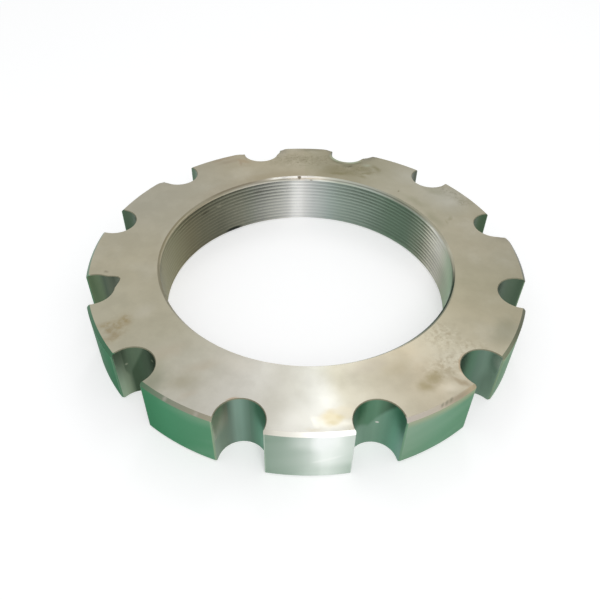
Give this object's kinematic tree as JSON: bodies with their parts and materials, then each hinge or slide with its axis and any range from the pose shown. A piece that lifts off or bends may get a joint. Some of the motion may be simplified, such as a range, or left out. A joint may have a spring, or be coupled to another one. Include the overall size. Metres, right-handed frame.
{
  "type": "adjusting nut",
  "caption": "Flat round bearing adjusting nut with a fine-threaded bore and round-ended spanner notches across its rim.",
  "frame": {"origin": "centre of the bottom face, on the thread's axis", "axes": "+Z along the thread's axis, up out of the top face; +X through the middle of a tooth between two notches"},
  "size_m": [0.146, 0.146, 0.02],
  "materials": {
    "machined_steel": "machined, oiled, lightly stained"
  },
  "bodies": {
    "root": {"adjusting_nut": "machined_steel"}
  },
  "joints": []
}
